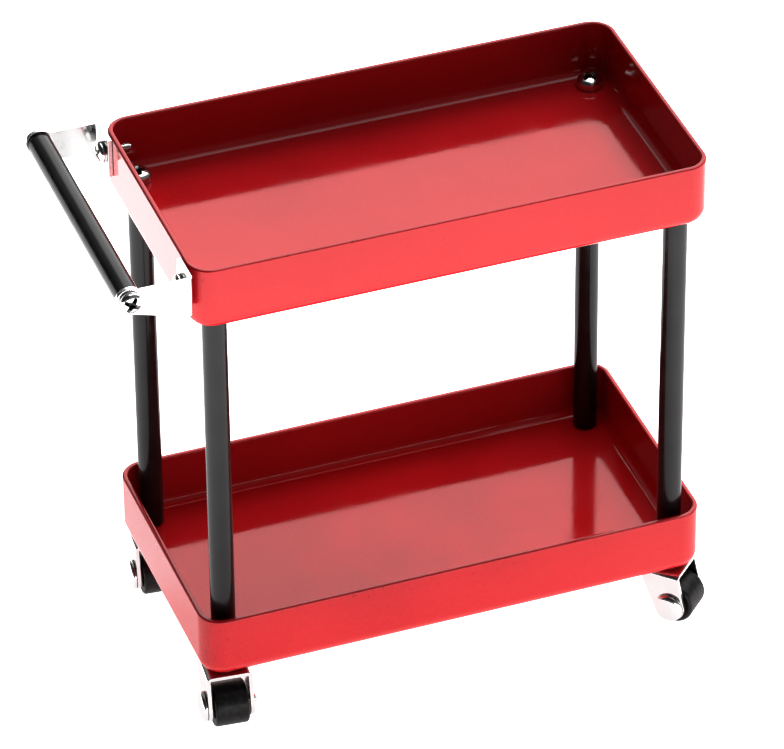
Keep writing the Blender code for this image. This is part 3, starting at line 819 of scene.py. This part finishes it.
def wheel(node, place, trail, axle_z):
    """A ring with a shallow groove in each side, eased edges and a fine seam round the tread's middle."""
    points = local_points(node, place)
    half = max(abs(co.y) for co in points)
    radius = max((co.x - trail) for co in points)
    groove = [share * radius for share in WHEEL_GROOVE]
    rows = [(AXLE_RADIUS + RUNNING_GAP, half)]
    rows += [(groove[0], half), (groove[1], half - WHEEL_GROOVE_DEPTH)]
    rows += [(groove[2], half - WHEEL_GROOVE_DEPTH), (groove[3], half)]
    rows += arc((radius - WHEEL_EDGE, half - WHEEL_EDGE), WHEEL_EDGE, 90.0, 0.0, TREAD_STEPS)
    rows += [(radius, 2 * WHEEL_SEAM), (radius - WHEEL_SEAM, 0.0)]
    rows += mirrored(rows[:-1])
    mesh = revolve("wheel", rows, WHEEL_COLUMNS, closed=True)
    attribute(mesh, "tread", lambda co: 1.0 if co.xy.length > radius - TREAD_BAND * WHEEL_EDGE else 0.0)
    spin = Matrix.Translation((trail, 0.0, axle_z)) @ Matrix.Rotation(math.pi / 2, 4, "X")
    piece(node, moved(mesh, place @ spin))


def axle(node, place, trail, axle_z):
    """A pin with a domed head on one side and its riveted end on the other."""
    points = local_points(node, place)
    out, far = max(co.y for co in points), min(co.y for co in points)
    side = 1.0 if out > -far else -1.0
    head = max(co.z for co in points) - axle_z
    reach = max(out, -far) - AXLE_HEAD_HEIGHT
    tail_foot = -(reach + min(out, -far) - AXLE_TAIL_HEIGHT)
    rows = dome(head, AXLE_HEAD_EDGE, AXLE_HEAD_HEIGHT) + [(AXLE_RADIUS, 0.0), (AXLE_RADIUS, tail_foot)]
    tail = dome(AXLE_RADIUS + AXLE_TAIL_OVERHANG, AXLE_TAIL_EDGE, AXLE_TAIL_HEIGHT, TAIL_STEPS)
    rows += [(radius, tail_foot - z) for radius, z in reversed(tail)]
    seat = facing((trail, side * reach, axle_z), (0, side, 0))
    piece(node, moved(revolve("axle", rows, RING_COLUMNS), place @ seat))


def caster(corner):
    """A fork with its wheel and axle, and the washer and screw that it swivels on."""
    pivot = Vector(JOINTS[f"{corner}_swivel"]["pos_m"])
    hub = Vector(JOINTS[f"{corner}_wheel_spin"]["pos_m"])
    trail, axle_z = (hub - pivot).xy.length, hub.z
    heading = math.atan2(hub.y - pivot.y, hub.x - pivot.x)
    place = Matrix.Translation((pivot.x, pivot.y, 0.0)) @ Matrix.Rotation(heading, 4, "Z")
    fork(f"{corner}_fork", place, trail, axle_z, pivot.z)
    wheel(f"{corner}_wheel", place, trail, axle_z)
    axle(f"{corner}_axle", place, trail, axle_z)

    node = f"{corner}_swivel_washer"
    low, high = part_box(node)
    washer_top = high.z
    bore, rim, half = PIVOT_SHOULDER_RADIUS + HOLE_GAP, (high.y - low.y) / 2, (high.z - low.z) / 2
    rows = [(bore, half), (rim - WASHER_EASE, half), (rim, half - WASHER_EASE)]
    rows += mirrored(rows)
    mesh = revolve("washer", rows, RING_COLUMNS, closed=True)
    piece(node, moved(mesh, Matrix.Translation((low + high) / 2)))

    node = f"{corner}_pivot_screw"
    low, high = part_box(node)
    head = ((high.y - low.y) / 2, PIVOT_HEAD_EDGE, PIVOT_HEAD_HEIGHT)
    seat = (pivot.x, pivot.y, low.z + PIVOT_HEAD_HEIGHT)
    step = washer_top - low.z - PIVOT_HEAD_HEIGHT
    screw(node, head, high.z - seat[2], facing(seat, (0, 0, -1)), shoulder=(PIVOT_SHOULDER_RADIUS, step))


# ================= stage, lights and camera =================

def glowing_floor():
    """Matt white that also glows as painted light, as a light table does, dimmer near the cart as a painted shadow
    of it and brighter from the cart outwards.
    """
    n = Finish("floor_white")
    distance = n.new("ShaderNodeVectorMath", {"operation": "LENGTH"})
    n.feed(distance.inputs[0], n.place)
    # painted light: the glow is weaker near the cart, standing in for the cart's shadow on the floor
    glow = n.ramp(distance.outputs["Value"], FLOOR_GLOW_FROM, FLOOR_GLOW_TO, FLOOR_GLOW_NEAR, FLOOR_GLOW_FAR)
    n.set(Base_Color=FLOOR_WHITE, Roughness=FLOOR_ROUGHNESS, Emission_Color=WHITE, Emission_Strength=glow)
    return n.material


def stage_floor():
    bm = bmesh.new()
    bmesh.ops.create_grid(bm, x_segments=1, y_segments=1, size=FLOOR_HALF)
    mesh = bpy.data.meshes.new("floor")
    bm.to_mesh(mesh)
    bm.free()
    mesh.materials.append(glowing_floor())
    obj = linked_object("floor", mesh)
    obj.location.z = -FLOOR_DROP


def sky():
    """A broad soft light behind the cart and to its right, dim everywhere else."""
    world = bpy.data.worlds.new("studio")
    bpy.context.scene.world = world
    world.use_nodes = True
    n = Nodes(world.node_tree)
    direction = n.new("ShaderNodeTexCoord").outputs["Generated"]
    aim = n.new("ShaderNodeVectorMath", {"operation": "DOT_PRODUCT"})
    n.feed(aim.inputs[0], direction)
    n.feed(aim.inputs[1], Vector(SKY_AIM).normalized())
    glow = n.ramp(aim.outputs["Value"], *SKY_SPREAD, *SKY_STRENGTH)
    across = n.new("ShaderNodeSeparateXYZ", Vector=direction).outputs["X"]
    side = n.ramp(across, *SKY_SIDE, *SKY_SIDE_SHARE)
    background = n.tree.nodes["Background"]
    n.feed(background.inputs["Strength"], n.math("MULTIPLY", glow, side))
    n.feed(background.inputs["Color"], WHITE)


def area_light(name, location, aim, size, power):
    light = bpy.data.lights.new(name, "AREA")
    light.shape = "RECTANGLE"
    light.size, light.size_y = size
    light.energy = power
    obj = linked_object(name, light)
    obj.location = location
    obj.rotation_euler = (Vector(aim) - Vector(location)).to_track_quat("-Z", "Y").to_euler()
    return obj


def lights():
    lit = Vector((TRAY_MIDDLE.x, TRAY_MIDDLE.y, LIT_HEIGHT))
    area_light("overhead", lit + OVERHEAD_PLACE, lit, OVERHEAD_SIZE, OVERHEAD_POWER)
    place = (TRAY_MIDDLE.x + LOW_FRONT_ASIDE, -LOW_FRONT_AHEAD, LOW_FRONT_HEIGHT)
    aim = (TRAY_MIDDLE.x, 0.0, LIT_HEIGHT)
    low_front = area_light("low_front", place, aim, LOW_FRONT_SIZE, LOW_FRONT_POWER)
    low_front.visible_camera = False


def tone_curve():
    settings = bpy.context.scene.view_settings
    settings.view_transform = "Standard"
    settings.use_curve_mapping = True
    combined = settings.curve_mapping.curves[3]
    for x, y in TONE_CURVE:
        combined.points.new(x, y)
    settings.curve_mapping.update()


def camera():
    azimuth, elevation, roll = (math.radians(v) for v in (VIEW_AZIMUTH, VIEW_ELEVATION, VIEW_ROLL))
    reach = math.cos(elevation)
    back = Vector((-math.sin(azimuth) * reach, -math.cos(azimuth) * reach, math.sin(elevation)))
    level = Vector((math.cos(azimuth), -math.sin(azimuth), 0.0))
    upright = back.cross(level)
    right = level * math.cos(roll) + upright * math.sin(roll)
    up = back.cross(right)
    data = bpy.data.cameras.new("camera")
    data.lens = VIEW_LENS
    data.sensor_width = VIEW_SENSOR
    data.clip_start = VIEW_NEAREST
    obj = linked_object("camera", data)
    turn = Matrix((right, up, back)).transposed().to_4x4()
    aim = VIEW_AIM + Vector((TRAY_MIDDLE.x, TRAY_MIDDLE.y, 0.0))
    obj.matrix_world = Matrix.Translation(aim + back * VIEW_DISTANCE) @ turn
    bpy.context.scene.camera = obj


camera()
trays()
posts()
handle()
for corner_name in CORNERS:
    caster(corner_name)
stage_floor()
sky()
lights()
tone_curve()
